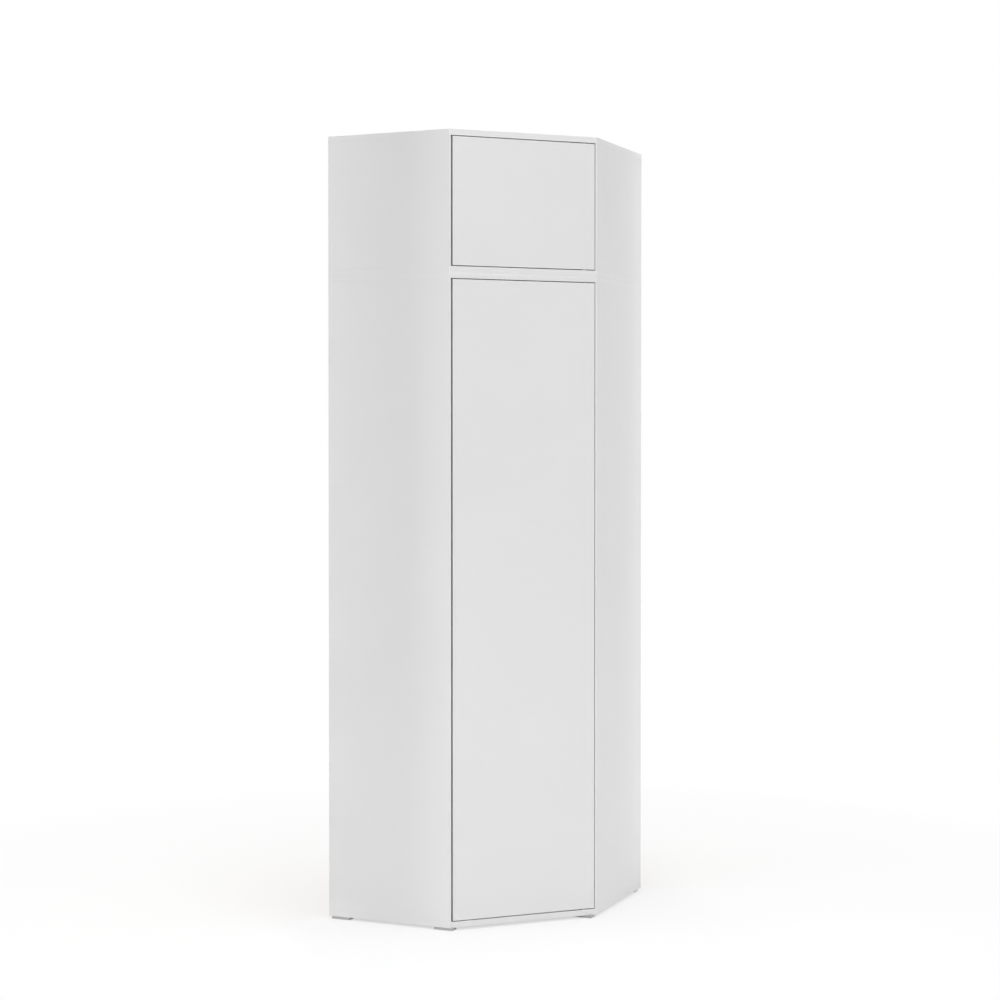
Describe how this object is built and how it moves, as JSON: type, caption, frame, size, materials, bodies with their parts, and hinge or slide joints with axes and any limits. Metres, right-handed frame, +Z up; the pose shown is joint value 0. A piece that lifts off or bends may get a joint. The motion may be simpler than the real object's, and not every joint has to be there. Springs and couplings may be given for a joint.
{
  "type": "corner wardrobe",
  "caption": "Tall white five-sided corner wardrobe with a diagonal front: a long handleless door below and a small one on the top box, over a shelf and a hanging rail.",
  "frame": {"origin": "on the floor under the middle of the 750 mm square that the case fills against the two walls", "axes": "+Z up; the walls are at -X and +Y and the room corner is at (-X, +Y); the diagonal front faces (+X, -Y)"},
  "size_m": [0.75, 0.75, 2.4],
  "materials": {
    "laminate": "satin white laminate on particle board",
    "back_board": "white lacquered thin fibreboard",
    "zinc_steel": "zinc plated",
    "chrome": "polished",
    "grey_plastic": "matte light grey",
    "white_plastic": "satin white"
  },
  "bodies": {
    "case": {"cabinet_back_panel_left": "back_board", "cabinet_back_panel_right": "back_board", "cabinet_bottom_panel": "laminate", "cabinet_corner_post": "laminate", "cabinet_side_panel_left": "laminate", "cabinet_side_panel_right": "laminate", "cabinet_top_panel": "laminate", "glide_corner": "grey_plastic", "glide_front_left": "grey_plastic", "glide_front_right": "grey_plastic", "glide_rear_left": "grey_plastic", "glide_rear_right": "grey_plastic", "hanging_rail": "chrome", "hat_shelf": "laminate", "joining_bolt_1": "zinc_steel", "joining_bolt_2": "zinc_steel", "joining_bolt_3": "zinc_steel", "joining_bolt_4": "zinc_steel", "joining_sleeve_1": "zinc_steel", "joining_sleeve_2": "zinc_steel", "joining_sleeve_3": "zinc_steel", "joining_sleeve_4": "zinc_steel", "lower_door_bottom_hinge_case_leaf": "zinc_steel", "lower_door_bottom_hinge_washer": "white_plastic", "lower_door_bottom_latch_housing": "grey_plastic", "lower_door_top_hinge_case_leaf": "zinc_steel", "lower_door_top_latch_housing": "grey_plastic", "rail_bracket_left": "chrome", "rail_bracket_right": "chrome", "shelf_support_1": "zinc_steel", "shelf_support_2": "zinc_steel", "shelf_support_3": "zinc_steel", "shelf_support_4": "zinc_steel", "shelf_support_5": "zinc_steel", "top_box_back_panel_left": "back_board", "top_box_back_panel_right": "back_board", "top_box_bottom_panel": "laminate", "top_box_corner_post": "laminate", "top_box_side_panel_left": "laminate", "top_box_side_panel_right": "laminate", "top_box_top_panel": "laminate", "upper_door_bottom_hinge_case_leaf": "zinc_steel", "upper_door_bottom_hinge_washer": "white_plastic", "upper_door_latch_housing": "grey_plastic", "upper_door_top_hinge_case_leaf": "zinc_steel", "wall_bracket_left": "zinc_steel", "wall_bracket_right": "zinc_steel"},
    "lower_door": {"lower_door": "laminate", "lower_door_bottom_hinge_door_leaf": "zinc_steel", "lower_door_bottom_latch_strike": "zinc_steel", "lower_door_top_hinge_door_leaf": "zinc_steel", "lower_door_top_latch_strike": "zinc_steel"},
    "upper_door": {"upper_door": "laminate", "upper_door_bottom_hinge_door_leaf": "zinc_steel", "upper_door_latch_strike": "zinc_steel", "upper_door_top_hinge_door_leaf": "zinc_steel"},
    "lower_door_bottom_latch_plunger": {"lower_door_bottom_latch_plunger": "white_plastic"},
    "lower_door_top_latch_plunger": {"lower_door_top_latch_plunger": "white_plastic"},
    "upper_door_latch_plunger": {"upper_door_latch_plunger": "white_plastic"}
  },
  "joints": [
    {"name": "lower_door_swing", "type": "hinge", "parent": "case", "child": "lower_door", "pos_m": [0.34035, -0.05492, 0.026], "axis": [0, 0, 1], "range_deg": [0, 105]},
    {"name": "upper_door_swing", "type": "hinge", "parent": "case", "child": "upper_door", "pos_m": [0.34035, -0.05492, 1.992], "axis": [0, 0, 1], "range_deg": [0, 105]},
    {"name": "lower_door_bottom_latch_slide", "type": "slide", "parent": "case", "child": "lower_door_bottom_latch_plunger", "axis": [0.7071, -0.7071, 0], "range_m": [0, 0.037]},
    {"name": "lower_door_top_latch_slide", "type": "slide", "parent": "case", "child": "lower_door_top_latch_plunger", "axis": [0.7071, -0.7071, 0], "range_m": [0, 0.037]},
    {"name": "upper_door_latch_slide", "type": "slide", "parent": "case", "child": "upper_door_latch_plunger", "axis": [0.7071, -0.7071, 0], "range_m": [0, 0.037]}
  ],
  "couplings": [
    {"joint": "lower_door_bottom_latch_slide", "follows": "lower_door_swing", "m_per_rad": 0.0201},
    {"joint": "lower_door_top_latch_slide", "follows": "lower_door_swing", "m_per_rad": 0.0201},
    {"joint": "upper_door_latch_slide", "follows": "upper_door_swing", "m_per_rad": 0.0201}
  ]
}
